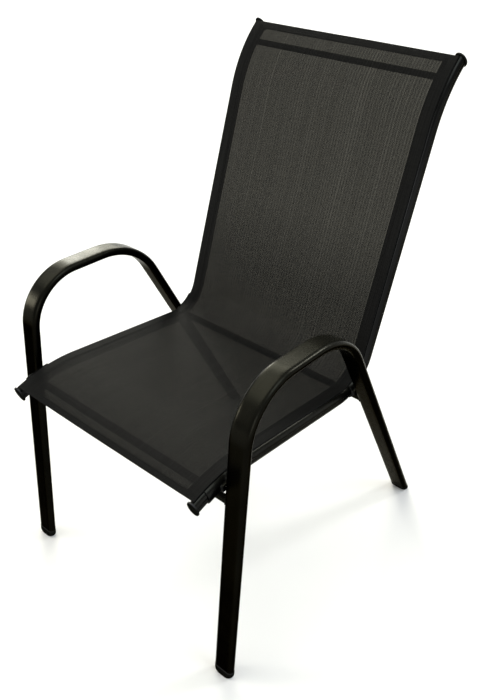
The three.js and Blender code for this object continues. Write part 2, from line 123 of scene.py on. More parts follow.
# Sling: one layer of mesh, doubled at its hems
LAYER = 0.0006
SLING_SETBACK = 0.0024
SEAT_SAG = 0.008
FRONT_SAG = 0.0025
CORNER_LIFT = 0.008
BACK_SAG = 0.005
SIDE_HEM = 0.0228
FRONT_HEM = 0.012
TOP_HEM = 0.015
SLOT_DROP = 0.0030
FOLD_RADIUS = 0.00035

# How the two layers turn down into the slot: across from its middle, and down
LAYER_GAP = 0.0001
TURN_START = 0.0008
SHEET_TURN = (
    (-0.0002, 0.0001), (0.0002, 0.0004), (0.0004, 0.0010), (0.0004, 0.0020), (0.0004, SLOT_DROP),
)
UNDER_LAYER = LAYER + LAYER_GAP
HEM_TURN = (
    (-TURN_START, UNDER_LAYER), (-0.0004, UNDER_LAYER + 0.0002),
    (-0.0002, UNDER_LAYER + 0.0007), (-0.0002, SLOT_DROP),
)

# Waves in the sheet: height, waves in a metre across and along, and a place in the noise
WAVES = ((0.0007, 7, 5, 0.3), (0.0002, 30, 12, 4.1))

# Stitches: a stitch's thickness along its length, and how it lies in its pitch
STITCH_PITCH = 0.0042
STITCH_RADIUS = 0.00042
STITCH_SHAPE_SHARES = ((0, 0.25), (0.12, 0.75), (0.35, 1.0), (0.65, 1.0), (0.88, 0.75), (1, 0.25))
STITCH_SINK_SHARE = 0.55
STITCH_START_SHARE = 0.10
STITCH_END_SHARE = 0.84
LIFT_PROBE = 0.001
SIDE_SEAM_INSETS = (0.0022, 0.0062)
SIDE_SEAM_END = 0.003
CROSS_SEAM_INSET = 0.002

# Spreader rod behind the top of the sling
SPREADER_RADIUS = 0.006
SPREADER_FROM_TOP = 0.0365
SPREADER_SEAT = 0.004
SPREADER_EDGE = 0.0008

# Rail brackets and bolts. CLIPS holds where each clip starts and ends along the rail, and
# the crown of a bolt's head is drawn in to a share of its radius away from its seat.
CLIP_THICKNESS = 0.0022
CLIP_TOP_ANGLE = 68
CLIP_BOTTOM_ANGLE = -75
CLIP_EDGE = 0.0006
CLIPS = {"front": (0.024, 0.070), "rear": (0.420, 0.468)}
PAD_LENGTH = 0.020
PAD_TOP = 0.005
PAD_BOTTOM = -0.009
PAD_CORNER = 0.003
PAD_ROOT = 0.0015
PAD_FILLET = ((0.0, 0.0016), (0.0010, 0.0006), (0.0022, 0.0))
PAD_EDGE = 0.0006
BOLT_RADIUS = 0.003
BOLT_REACH = 0.011
BOLT_TIP_EDGE = 0.0006
BOLT_TIP_SHARE = 0.8
BOLT_HEAD_RADIUS = 0.00525
BOLT_HEAD_HEIGHT = 0.0033
BOLT_HEAD_EDGE = 0.0002
BOLT_CROWN = (
    (0.0005, 1.0), (0.0013, 0.93), (0.0023, 0.78),
    (BOLT_HEAD_HEIGHT - BOLT_HEAD_EDGE, 0.62), (BOLT_HEAD_HEIGHT, 0.55),
)
BOLT_SOCKET = 0.0044
BOLT_SOCKET_DEPTH = 0.002

CLEARANCE = 0.0003

# How finely shapes are cut: degrees of a bend, lengths, and steps round an outline
BEND_STEP = 2.0
TUBE_STEP = 0.05
CLIP_STEP = 0.01
SHEET_STEP = 0.0035
HEM_STEP = 0.006
HEM_COLUMN = 0.0018
HEM_COLUMNS = 12
SHEET_COLUMNS = 60
FRONT_HEM_ROWS = 4
TOP_HEM_ROWS = 5
FOLD_STEPS = 6
OVAL_ROUND_STEPS = 14
OVAL_FLAT_STEPS = 5
CROSSBAR_STEPS = 40
WELD_STEPS = 10
WELD_RIPPLE_STEPS = 4
SPREADER_STEPS = 32
RAIL_STEPS = 96
LIP_STEPS = 4
CAP_STEPS = 64
CLIP_STEPS = 28
CORNER_STEPS = 5
BOLT_STEPS = 48
STITCH_STEPS = 6
HALVINGS = 40


def make_camera():
    """The camera stands in front of the sitter's left and looks down at the chair."""
    yaw, pitch, roll = (math.radians(angle) for angle in (CAMERA_YAW, CAMERA_PITCH, CAMERA_ROLL))
    level = math.cos(pitch)
    right = Vector((math.cos(yaw), math.sin(yaw), 0))
    ahead = Vector((-math.sin(yaw) * level, math.cos(yaw) * level, -math.sin(pitch)))
    up = right.cross(ahead)
    turned_right = right * math.cos(roll) + up * math.sin(roll)
    turned_up = up * math.cos(roll) - right * math.sin(roll)
    data = bpy.data.cameras.new("camera")
    data.lens = CAMERA_LENS
    data.sensor_width = CAMERA_SENSOR
    camera = bpy.data.objects.new("camera", data)
    bpy.context.scene.collection.objects.link(camera)
    axes = Matrix((turned_right, turned_up, -ahead)).transposed()
    camera.matrix_world = Matrix.Translation(Vector(CAMERA_PLACE)) @ axes.to_4x4()
    bpy.context.scene.camera = camera


make_camera()


# Lines of the bent tubes

def run_on(y, z, heading, curve, distance):
    """Where a straight, of curve 0, or an arc comes to after a distance."""
    if curve == 0:
        return y + distance * math.cos(heading), z + distance * math.sin(heading), heading
    ahead = heading + curve * distance
    return (
        y + (math.sin(ahead) - math.sin(heading)) / curve,
        z - (math.cos(ahead) - math.cos(heading)) / curve,
        ahead,
    )


class BentLine:
    """Centre line of a bent tube in a plane of constant x: straights and arcs end to end."""

    def __init__(self, y, z, heading, runs):
        self.parts = []
        self.length = 0.0
        for size, *end in runs:
            turn = end[0] - heading if end else 0.0
            length = size * abs(turn) if end else size
            self.parts.append((self.length, length, y, z, heading, turn / length))
            y, z, heading = run_on(y, z, heading, turn / length, length)
            self.length += length

    def at(self, along, out=0.0):
        """y, z and heading at a distance along the line, moved off it by out."""
        part = self.parts[0]
        for later in self.parts[1:]:
            if along >= later[0]:
                part = later
        start, _, y, z, heading, curve = part
        y, z, heading = run_on(y, z, heading, curve, along - start)
        return y - out * math.sin(heading), z + out * math.cos(heading), heading

    def stations(self, start, end, longest):
        """Distances from start to end: bends are cut by angle, straights by length."""
        places = [start]
        for begin, length, _, _, _, curve in self.parts:
            low, high = max(start, begin), min(end, begin + length)
            if high <= low:
                continue
            step = longest
            if curve:
                step = min(longest, math.radians(BEND_STEP) / abs(curve))
            count = max(1, math.ceil((high - low) / step))
            places += [low + (high - low) * (index + 1) / count for index in range(count)]
        return places


def rail_line():
    """The side rail's line, in the chair's frame."""
    y, z = RAIL_FRONT
    return BentLine(y + FOOT_Y, z, math.radians(RAIL_FRONT_ANGLE), [
        (RAIL_FRONT_LENGTH,),
        (RAIL_FRONT_BEND, math.radians(RAIL_SEAT_ANGLE)),
        (RAIL_SEAT_LENGTH,),
        (RAIL_CORNER_BEND, math.radians(RAIL_BACK_ANGLE)),
        (RAIL_BACK_LENGTH,),
        (RAIL_TOP_BEND, math.radians(RAIL_TOP_ANGLE)),
        (RAIL_TOP_LENGTH,),
    ])


def hoop_line():
    """The hoop's line from the front floor point to the rear floor point."""
    (front_y, front_z), (rear_y, rear_z) = HOOP_FRONT_TOP, HOOP_REAR_TOP
    up = math.atan2(front_z, front_y)
    arm = math.atan2(rear_z - front_z, rear_y - front_y)
    down = math.atan2(-rear_z, HOOP_REAR_FOOT_Y - rear_y)
    front_cut = HOOP_FRONT_BEND * math.tan((up - arm) / 2)
    rear_cut = HOOP_REAR_BEND * math.tan((arm - down) / 2)
    return BentLine(FOOT_Y, 0.0, up, [
        (math.hypot(front_y, front_z) - front_cut,),
        (HOOP_FRONT_BEND, arm),
        (math.hypot(rear_y - front_y, rear_z - front_z) - front_cut - rear_cut,),
        (HOOP_REAR_BEND, down),
        (math.hypot(HOOP_REAR_FOOT_Y - rear_y, rear_z) - rear_cut,),
    ])


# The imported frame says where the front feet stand: its front crossbar runs between
# the centre lines of the front legs
BAR_LOW, BAR_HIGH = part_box("front_crossbar")
FRONT_LEAN = HOOP_FRONT_TOP[0] / HOOP_FRONT_TOP[1]
FOOT_Y = (BAR_LOW.y + BAR_HIGH.y) / 2 - FRONT_LEAN * FRONT_CROSSBAR_HEIGHT
HOOP_LEAN = math.atan2(HOOP_FOOT_SPACING - HOOP_ARM_SPACING, 2 * HOOP_FRONT_TOP[1])
RAIL = rail_line()
HOOP = hoop_line()
RAIL_X = RAIL_SPACING / 2

# Where the rail's bend from seat to back starts and ends
CORNER_RUN = 3
CORNER_START = RAIL.parts[CORNER_RUN][0]
CORNER_END = RAIL.parts[CORNER_RUN + 1][0]

# The sheet lies on its hem's second layer, which lies on the rail. It stops short of the
# rail's ends, turns down at the slot, and is one layer between its side hems.
SHEET_OUT = RAIL_DEPTH / 2 + CLEARANCE + 1.5 * LAYER
SHEET_END = RAIL.length - SLING_SETBACK
EDGE_X = RAIL_X + SLOT_OFFSET
HALF_FIELD = EDGE_X - SIDE_HEM


def front_leg_y(z):
    """y of the front leg's centre line at a height."""
    return FOOT_Y + FRONT_LEAN * z


def rear_leg_y(z):
    """y of the rear leg's centre line at a height."""
    rear_y, rear_z = HOOP_REAR_TOP
    return FOOT_Y + HOOP_REAR_FOOT_Y + (rear_y - HOOP_REAR_FOOT_Y) * z / rear_z


def hoop_centre_x(z):
    """How far the hoop's centre line stands from the chair's middle at a height."""
    return HOOP_FOOT_SPACING / 2 - z * math.tan(HOOP_LEAN)


def leaned(x, y, z, side):
    """A point of the upright hoop's plane, in the chair's frame."""
    return Vector((
        side * HOOP_FOOT_SPACING / 2 + x * math.cos(HOOP_LEAN) - side * z * math.sin(HOOP_LEAN),
        y,
        side * x * math.sin(HOOP_LEAN) + z * math.cos(HOOP_LEAN),
    ))


# Mesh helpers

def add_piece(name, points, faces, material, nodes=(), sharp=40, closed=True):
    """One piece of the chair: its mesh, its material and the solids that it stands for."""
    mesh = bpy.data.meshes.new(name)
    mesh.from_pydata([tuple(point) for point in points], [], faces)
    if closed:
        editor = bmesh.new()
        editor.from_mesh(mesh)
        bmesh.ops.recalc_face_normals(editor, faces=editor.faces)
        editor.to_mesh(mesh)
        editor.free()
    mesh.shade_smooth()
    mesh.set_sharp_from_angle(angle=math.radians(sharp))
    mesh.materials.append(material)
    piece = bpy.data.objects.new(name, mesh)
    bpy.context.scene.collection.objects.link(piece)
    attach(piece, "root")
    if nodes:
        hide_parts(*nodes)
    return piece


# Each of these gives points and faces

def skin(rings, wrap=True):
    """Rings that hold as many points each, with quads from each ring to the next."""
    count = len(rings[0])
    points = [point for ring in rings for point in ring]
    faces = []
    for start in range(0, len(points) - count, count):
        for place in range(count if wrap else count - 1):
            here, beside = start + place, start + (place + 1) % count
            faces.append((here, beside, beside + count, here + count))
    return points, faces


def solid_loft(rings):
    """Closed body through rings, with flat ends."""
    points, faces = skin(rings)
    count = len(rings[0])
    faces.append(tuple(range(count)))
    faces.append(tuple(range(len(points) - count, len(points))))
    return points, faces


def wall_loft(rings, lip=0):
    """Closed body through rings that go out along one face of a wall and back along the
    other, with lip points round each edge of the wall."""
    points, faces = skin(rings)
    count = len(rings[0])
    wall = count // 2 - lip
    mate = 2 * wall + lip - 1
    for end in (0, len(points) - count):
        for place in range(wall - 1):
            beyond = end + mate - place
            faces.append((end + place, end + place + 1, beyond - 1, beyond))
        if lip:
            faces.append(tuple(end + place for place in range(wall - 1, wall + lip + 1)))
            faces.append(tuple(end + place % count for place in range(mate, count + 1)))
    return points, faces


def merge(*bodies):
    """Several bodies as one."""
    points, faces = [], []
    for more_points, more_faces in bodies:
        shift = len(points)
        points += more_points
        faces += [tuple(corner + shift for corner in face) for face in more_faces]
    return points, faces


def tube_loft(outer, inner):
    """Closed body of a tube through outer rings and the inner ones that match them."""
    points, faces = merge(skin(outer), skin(inner))
    count = len(outer[0])
    shift = len(outer) * count
    for row in (0, shift - count):
        for place in range(count):
            here, beside = row + place, row + (place + 1) % count
            faces.append((here, beside, shift + beside, shift + here))
    return points, faces


# Outlines

def flat_oval(width, thickness):
    """Outline of two flats joined by half circles, as (across, out)."""
    radius = thickness / 2
    reach = width / 2 - radius
    points = []
    for side in (1, -1):
        for step in range(OVAL_ROUND_STEPS + 1):
            angle = math.radians(side * 90 - side * 180 * step / OVAL_ROUND_STEPS)
            points.append((side * (reach + radius * math.cos(angle)), radius * math.sin(angle)))
        for step in range(1, OVAL_FLAT_STEPS):
            points.append((side * reach * (1 - 2 * step / OVAL_FLAT_STEPS), -side * radius))
    return points


def round_angles(steps):
    """Angles that go once round in even steps."""
    return [2 * math.pi * step / steps for step in range(steps)]


def circle(radius, steps):
    return [(radius * math.cos(angle), radius * math.sin(angle)) for angle in round_angles(steps)]


# Materials

# What most values of a noise lie between, and the rise of a normal that faces partly up
NOISE_EDGES = (0.3, 0.7)
UP_EDGES = (0.15, 0.85)


def opaque(color):
    """A colour with its alpha, or a node's output as it is."""
    return (*color, 1.0) if isinstance(color, tuple) else color


class Surface:
    """A material under construction: each call adds a node and returns its output."""

    def __init__(self, name):
        self.material = bpy.data.materials.new(name)
        self.material.use_nodes = True
        self.tree = self.material.node_tree
        self.tree.nodes.clear()

    def node(self, kind, inputs, output=0, **settings):
        made = self.tree.nodes.new(kind)
        for key, value in settings.items():
            setattr(made, key, value)
        for key, value in inputs.items():
            if isinstance(value, bpy.types.NodeSocket):
                self.tree.links.new(value, made.inputs[key])
            else:
                made.inputs[key].default_value = value
        return made.outputs[output]

    def math(self, operation, first, second=0.0):
        return self.node("ShaderNodeMath", {0: first, 1: second}, operation=operation)

    def times(self, first, second):
        return self.math("MULTIPLY", first, second)

    def plus(self, first, second):
        return self.math("ADD", first, second)

    def place(self):
        return self.node("ShaderNodeTexCoord", {}, "Object")

    def noise(self, vector, scale, detail=2.0):
        inputs = {"Vector": vector, "Scale": scale, "Detail": detail}
        return self.node("ShaderNodeTexNoise", inputs, "Fac")

    def streaks(self, vector, scales, detail=2.0):
        """Noise with a scale of its own along each axis."""
        scaled = self.node("ShaderNodeVectorMath", {0: vector, 1: scales}, operation="MULTIPLY")
        return self.noise(scaled, 1.0, detail)

    def spread(self, value, low, high, to_low=0.0, to_high=1.0):
        """A value from low to high, laid out from to_low to to_high and held between them."""
        inputs = {"Value": value, "From Min": low, "From Max": high, "To Min": to_low, "To Max": to_high}
        return self.node("ShaderNodeMapRange", inputs)

    def patches(self, vector, scale, low=0.0, high=1.0, detail=2.0):
        """A value that drifts between low and high from patch to patch."""
        return self.spread(self.noise(vector, scale, detail), *NOISE_EDGES, low, high)

    def blend(self, share, first, second):
        inputs = {0: share, 6: opaque(first), 7: opaque(second)}
        return self.node("ShaderNodeMix", inputs, 2, data_type="RGBA")

    def bump(self, height, distance, strength):
        return self.node("ShaderNodeBump", {"Height": height, "Distance": distance, "Strength": strength})

    def facing_up(self):
        """1 where the surface faces up, and 0 where it doesn't."""
        normal = self.node("ShaderNodeNewGeometry", {}, "Normal")
        return self.spread(self.node("ShaderNodeSeparateXYZ", {0: normal}, 2), *UP_EDGES)

    def shader(self, color, roughness, normal, **sockets):
        inputs = {"Base Color": color, "Roughness": roughness, "Normal": normal}
        inputs.update({key.replace("_", " "): opaque(value) for key, value in sockets.items()})
        return self.node("ShaderNodeBsdfPrincipled", inputs)

    def done(self, shader):
        output = self.tree.nodes.new("ShaderNodeOutputMaterial")
        self.tree.links.new(shader, output.inputs["Surface"])
        return self.material


# Powder coat: its tones, and what it fades to where it faces up. There it is also painted
# lighter and more reflective, a painted highlight on top of real dust and fading. Its reflection
# at a grazing angle is held down, less so where it has faded. Scales say how fine its marks are.
COAT_TONES = ((0.0026, 0.0024, 0.0017), (0.0040, 0.0037, 0.0027))
# The rails' and brackets' coat: lighter and bluer than the frame's, a painted reflection
RAIL_SHEEN_COAT_TONES = ((0.0090, 0.0091, 0.0095), (0.0123, 0.0125, 0.0130))
COAT_FADED_LIT = (0.0170, 0.0168, 0.0125)
COAT_FADED_LIT_METAL = 0.6
COAT_GRAZING = (0.458, 0.452, 0.434)
COAT_FADED_LIT_GRAZING = (0.86, 0.86, 0.86)
COAT_ROUGHNESS = (0.23, 0.31)
COAT_SPECULAR = 0.1
COAT_CLOUD_SCALE = 9.0
COAT_CLOUD_EDGES = (0.35, 0.65)
COAT_FADE_SCALE = 14.0
COAT_FADE = (0.75, 1.0)
COAT_GLOSS_SCALE = 40.0
COAT_PEEL_SCALE = 420.0
COAT_SPECK_SCALE = 900.0
COAT_SPECK_SHARE = 0.35
COAT_BUMP = (0.00012, 0.35)


def powder_coat(name, tones):
    """Very dark satin powder coat between two tones, with fine orange peel, dust and
    fading where it faces up, and a painted highlight there: lighter and more reflective."""
    s = Surface(name)
    place = s.place()
    clouds = s.noise(place, COAT_CLOUD_SCALE, detail=3.0)
    color = s.blend(s.spread(clouds, *COAT_CLOUD_EDGES), *tones)
    # Painted highlight, with dust and fading: up-facing faces get a lighter, less metallic, more
    # reflective coat
    faded_and_lit = s.times(s.facing_up(), s.patches(place, COAT_FADE_SCALE, *COAT_FADE, detail=4.0))
    color = s.blend(faded_and_lit, color, COAT_FADED_LIT)
    metal = s.spread(faded_and_lit, 0.0, 1.0, 1.0, COAT_FADED_LIT_METAL)
    grazing = s.blend(faded_and_lit, COAT_GRAZING, COAT_FADED_LIT_GRAZING)
    roughness = s.patches(place, COAT_GLOSS_SCALE, *COAT_ROUGHNESS, detail=3.0)
    speck = s.times(s.noise(place, COAT_SPECK_SCALE, detail=1.0), COAT_SPECK_SHARE)
    normal = s.bump(s.plus(s.noise(place, COAT_PEEL_SCALE), speck), *COAT_BUMP)
    return s.done(s.shader(
        color, roughness, normal, Metallic=metal, Specular_IOR_Level=COAT_SPECULAR, Specular_Tint=grazing))


# Moulded plastic: its tones, and the lighter one that it has where it faces up
PLASTIC_TONES = ((0.0062, 0.0063, 0.0055), (0.0098, 0.0099, 0.0088))
PLASTIC_UP_TONE = (0.050, 0.050, 0.053)
PLASTIC_METAL = 0.7
PLASTIC_GRAZING = (0.28, 0.28, 0.26)
PLASTIC_ROUGHNESS = (0.50, 0.62)
PLASTIC_CLOUD_SCALE = 30.0
PLASTIC_GLOSS_SCALE = 90.0
PLASTIC_SPARK_SCALE = 1500.0
PLASTIC_BUMP = (0.00008, 0.5)


def moulded_plastic():
    """Black moulded plastic with a fine spark texture, lighter where it faces up."""
    s = Surface("moulded_plastic")
    place = s.place()
    color = s.blend(s.patches(place, PLASTIC_CLOUD_SCALE, detail=3.0), *PLASTIC_TONES)
    color = s.blend(s.facing_up(), color, PLASTIC_UP_TONE)
    roughness = s.patches(place, PLASTIC_GLOSS_SCALE, *PLASTIC_ROUGHNESS)
    normal = s.bump(s.noise(place, PLASTIC_SPARK_SCALE), *PLASTIC_BUMP)
    return s.done(s.shader(
        color, roughness, normal, Metallic=PLASTIC_METAL, Specular_IOR_Level=0.0,
        Specular_Tint=PLASTIC_GRAZING))


# Zinc-plated steel: its tones, and marks that run round the bolts
STEEL_TONES = ((0.46, 0.45, 0.42), (0.58, 0.57, 0.54))
STEEL_ROUGHNESS = (0.28, 0.42)
STEEL_MARK_SCALES = (3000.0, 300.0, 300.0)
STEEL_GLOSS_SCALE = 250.0
STEEL_BUMP = (0.00005, 0.3)


def zinc_steel():
    """Zinc-plated steel with faint machining marks."""
    s = Surface("zinc_steel")
    place = s.place()
    marks = s.streaks(place, STEEL_MARK_SCALES)
    roughness = s.patches(place, STEEL_GLOSS_SCALE, *STEEL_ROUGHNESS)
    return s.done(s.shader(
        s.blend(marks, *STEEL_TONES), roughness, s.bump(marks, *STEEL_BUMP), Metallic=1.0))


# Weave: pitch of the yarns along and across the sheet, the gaps between them as a
# share of the rounded yarn's height, and the wider pitch at which a looser, brighter
# yarn comes round again. Below a stretch of the back the gaps narrow, which darkens the low back as
# painted shade.
WARP_PITCH = 0.0015
WEFT_PITCH = 0.00160
WARP_GAP_SHARE = 0.60
WEFT_GAP_SHARE = 0.80
STRIPE_PITCH = 4 * WARP_PITCH
BACK_SHADE_START = 0.58
BACK_SHADE_END = 0.72

# Yarns: their tones, the painted shade down between them, how low one lies under another, and what makes
# up a yarn's tone
YARN_DARK = (0.0060, 0.0061, 0.0060)
YARN_LIGHT = (0.0234, 0.0235, 0.0226)
YARN_PAINTED_SHADE = (0.003, 0.003, 0.003)
HEM_TONE = (0.0033, 0.0034, 0.0036)
HEM_SHARE = 0.12
# Painted shade in the gaps: what lies behind shows through them dimmed to about an eighth
SHADED_SEEN_THROUGH = (0.124, 0.119, 0.104)
YARN_UNDER_SHARE = 0.35
YARN_RUN = 6.0
WARP_TONE_SHARE = 0.45
WEFT_TONE_SHARE = 0.20
STREAK_TONE_SHARE = 0.15
LOOSE_TONE_SHARE = 0.20
STREAK_SCALES = (160.0, 2.0, 1.0)
TONE_EDGES = (0.30, 0.85)
SHADE_DEPTH_EDGES = (0.25, 0.85, 0.35, 1.0)
YARN_GLOSS_SCALE = 700.0
YARN_ROUGHNESS = (0.46, 0.62)
YARN_SPECULAR = 0.028
YARN_BUMP = (0.0004, 0.8)

# Looser yarns: every line of them, the single bright ones, how bright they are at the
# sitter's right and left, brighter to the left as a painted sheen, and on the seat, how far
# they widen their gaps, and how far the gaps narrow on the seat and low on the back as painted shade
LINE_SCALES = (0.5 / STRIPE_PITCH, 0.8, 1.0)
LINE_EDGES = (0.34, 0.70, 0.35, 1.1)
SINGLE_SCALES = (0.7 / STRIPE_PITCH, 0.3, 1.0)
SINGLE_EDGES = (0.66, 0.74)
PAINTED_SHEEN_ACROSS = (0.45, 1.30)
LOOSE_SEAT_SHARE = 0.45
GAP_WIDENING = (0.82, 1.34)
SEAT_SHADE_GAP_SHARE = 0.66
LOW_BACK_SHADE_GAP_SHARE = 0.54


def sheet_place(s):
    """The sheet's UV map, and its two coordinates in metres."""
    uv = s.node("ShaderNodeUVMap", {}, 0, uv_map="sheet")
    u = s.node("ShaderNodeSeparateXYZ", {0: uv}, 0)
    v = s.node("ShaderNodeSeparateXYZ", {0: uv}, 1)
    return uv, u, v


def one_layer(s):
    """1 where the sheet is one layer of mesh, and 0 in its hems."""
    _, u, v = sheet_place(s)
    inside = s.math("LESS_THAN", s.math("ABSOLUTE", u), HALF_FIELD)
    behind = s.math("GREATER_THAN", v, SLING_SETBACK + FRONT_HEM)
    below = s.math("LESS_THAN", v, SHEET_END - TOP_HEM)
    return s.times(inside, s.times(behind, below))


def yarns(s):
    """Plain weave of coated yarn: how far each place is from its gap along and
    across the sheet, the height of the yarns, and their uneven tone."""
    uv, u, v = sheet_place(s)
    warp = s.math("SINE", s.times(u, math.pi / WARP_PITCH))
    weft = s.math("SINE", s.times(v, math.pi / WEFT_PITCH))
    over = s.times(warp, weft)
    warp_round = s.math("ABSOLUTE", warp)
    weft_round = s.math("ABSOLUTE", weft)
    warp_top = s.times(s.math("SQRT", warp_round), s.spread(over, -1.0, 1.0, YARN_UNDER_SHARE, 1.0))
    weft_top = s.times(s.math("SQRT", weft_round), s.spread(over, -1.0, 1.0, 1.0, YARN_UNDER_SHARE))
    height = s.math("MAXIMUM", warp_top, weft_top)
    warps = s.streaks(uv, (1 / WARP_PITCH, YARN_RUN, 1.0), detail=1.0)
    wefts = s.streaks(uv, (YARN_RUN, 1 / WEFT_PITCH, 1.0), detail=1.0)
    tone = s.plus(s.times(warps, WARP_TONE_SHARE), s.times(wefts, WEFT_TONE_SHARE))
    tone = s.plus(tone, s.times(s.streaks(uv, STREAK_SCALES), STREAK_TONE_SHARE))
    return warp_round, weft_round, height, tone


def loose_yarns(s):
    """Brightness of the looser yarns, which come round in uneven lines. They are
    painted brighter towards the sitter's left, as a painted sheen."""
    uv, u, v = sheet_place(s)
    stripe = s.spread(s.math("COSINE", s.times(u, 2 * math.pi / STRIPE_PITCH)), -1.0, 1.0)
    line = s.spread(s.streaks(uv, LINE_SCALES, detail=1.0), *LINE_EDGES)
    single = s.spread(s.streaks(uv, SINGLE_SCALES, detail=0.0), *SINGLE_EDGES)
    bright = s.times(s.times(stripe, stripe), s.plus(line, single))
    # Painted sheen: brighter towards the sitter's left, with wider gaps there
    bright = s.times(bright, s.spread(u, -HALF_FIELD, HALF_FIELD, *PAINTED_SHEEN_ACROSS))
    return s.times(bright, s.spread(v, CORNER_START, CORNER_END, LOOSE_SEAT_SHARE, 1.0))


def holes(s, bright, warp_round, weft_round):
    """1 in the gaps between the yarns: wider beside the looser yarns, and narrower on
    the seat and low on the back, which darkens them as painted shade."""
    _, _, v = sheet_place(s)
    gap = s.spread(bright, 0.0, 1.0, *GAP_WIDENING)
    # Painted shade: narrower gaps on the seat and low on the back let less show through
    gap = s.times(gap, s.spread(v, CORNER_START, CORNER_END, SEAT_SHADE_GAP_SHARE, 1.0))
    gap = s.times(gap, s.spread(v, BACK_SHADE_START, BACK_SHADE_END, LOW_BACK_SHADE_GAP_SHARE, 1.0))
    return s.times(
        s.math("LESS_THAN", warp_round, s.times(gap, WARP_GAP_SHARE)),
        s.math("LESS_THAN", weft_round, WEFT_GAP_SHARE))


def yarn_color(s, tone, height):
    """Tone of the yarns, with painted shade down between them."""
    color = s.blend(s.spread(tone, *TONE_EDGES), YARN_DARK, YARN_LIGHT)
    # Painted shade down between the yarns
    return s.blend(s.spread(height, *SHADE_DEPTH_EDGES), YARN_PAINTED_SHADE, color)


def yarn_shader(s, color, height):
    uv, _, _ = sheet_place(s)
    roughness = s.patches(uv, YARN_GLOSS_SCALE, *YARN_ROUGHNESS, detail=1.0)
    return s.shader(color, roughness, s.bump(height, *YARN_BUMP), Specular_IOR_Level=YARN_SPECULAR)


def mesh_fabric():
    """Charcoal mesh of coated yarn, with what lies behind it seen through its gaps, dimmed by painted
    shade.
    """
    s = Surface("mesh_fabric")
    single = one_layer(s)
    warp_round, weft_round, height, tone = yarns(s)
    bright = loose_yarns(s)
    tone = s.plus(tone, s.times(s.times(bright, single), LOOSE_TONE_SHARE))
    doubled = s.math("SUBTRACT", 1.0, single)
    color = s.blend(s.times(doubled, HEM_SHARE), yarn_color(s, tone, height), HEM_TONE)
    hole = s.times(holes(s, bright, warp_round, weft_round), single)
    # Painted shade: what shows through the gaps is dimmed
    through = s.node("ShaderNodeBsdfTransparent", {"Color": opaque(SHADED_SEEN_THROUGH)})
    return s.done(s.node("ShaderNodeMixShader", {0: hole, 1: yarn_shader(s, color, height), 2: through}))


def hem_fabric():
    """The same mesh where it is doubled, so that nothing shows through it."""
    s = Surface("hem_fabric")
    _, _, height, tone = yarns(s)
    color = s.blend(HEM_SHARE, yarn_color(s, tone, height), HEM_TONE)
    return s.done(yarn_shader(s, color, height))


# Sewing thread
THREAD_TONES = ((0.006, 0.006, 0.0056), (0.016, 0.016, 0.015))
THREAD_ROUGHNESS = 0.6
THREAD_SPECULAR = 0.03
THREAD_TWIST_SCALE = 4000.0
THREAD_BUMP = (0.0001, 0.5)


def sewing_thread():
    """Black polyester thread with its twist."""
    s = Surface("sewing_thread")
    twist = s.noise(s.place(), THREAD_TWIST_SCALE, detail=1.0)
    return s.done(s.shader(
        s.blend(twist, *THREAD_TONES), THREAD_ROUGHNESS, s.bump(twist, *THREAD_BUMP),
        Specular_IOR_Level=THREAD_SPECULAR))


# Floor
FLOOR_TONES = ((0.86, 0.86, 0.86), (0.88, 0.88, 0.88))
FLOOR_ROUGHNESS = (0.85, 0.95)
FLOOR_SPECULAR = 0.1
FLOOR_TONE_SCALE = 1.5
FLOOR_GLOSS_SCALE = 4.0
FLOOR_GRAIN_SCALE = 300.0
FLOOR_BUMP = (0.0001, 0.1)


def pale_floor():
    """Even, pale and matt floor."""
    s = Surface("pale_floor")
    place = s.place()
    color = s.blend(s.noise(place, FLOOR_TONE_SCALE), *FLOOR_TONES)
    roughness = s.patches(place, FLOOR_GLOSS_SCALE, *FLOOR_ROUGHNESS)
    normal = s.bump(s.noise(place, FLOOR_GRAIN_SCALE), *FLOOR_BUMP)
    return s.done(s.shader(color, roughness, normal, Specular_IOR_Level=FLOOR_SPECULAR))


COAT = powder_coat("powder_coat", COAT_TONES)
# Painted reflection: a lighter, bluer copy of the coat for the rails and brackets
RAIL_SHEEN_COAT = powder_coat("rail_sheen_coat", RAIL_SHEEN_COAT_TONES)
PLASTIC = moulded_plastic()
STEEL = zinc_steel()
MESH = mesh_fabric()
HEM = hem_fabric()
THREAD = sewing_thread()


# Leg hoops and their feet

def hoop_ring(along, outline, side):
    """A ring of (across, out) points square to the hoop at a distance along it."""
    return [leaned(across, *HOOP.at(along, out)[:2], side) for across, out in outline]


def leg_hoop(name, side):
    """Hollow tube from one foot cap over the arm to the other."""
    end = SOLE_HEIGHT + CLEARANCE
    places = HOOP.stations(end, HOOP.length - end, TUBE_STEP)
    outer = flat_oval(HOOP_WIDTH, HOOP_THICKNESS)
    inner = flat_oval(HOOP_WIDTH - 2 * HOOP_WALL, HOOP_THICKNESS - 2 * HOOP_WALL)
    points, faces = tube_loft(
        [hoop_ring(along, outer, side) for along in places],
        [hoop_ring(along, inner, side) for along in places])
    add_piece(f"{name}_hoop_tube", points, faces, COAT, [f"{name}_leg_hoop"])


def drawn_in(radius, height):
    """How far a rounding of this radius draws an outline in at a height above its foot."""
    if height >= radius:
        return 0.0
    return radius - math.sqrt(radius ** 2 - (radius - height) ** 2)


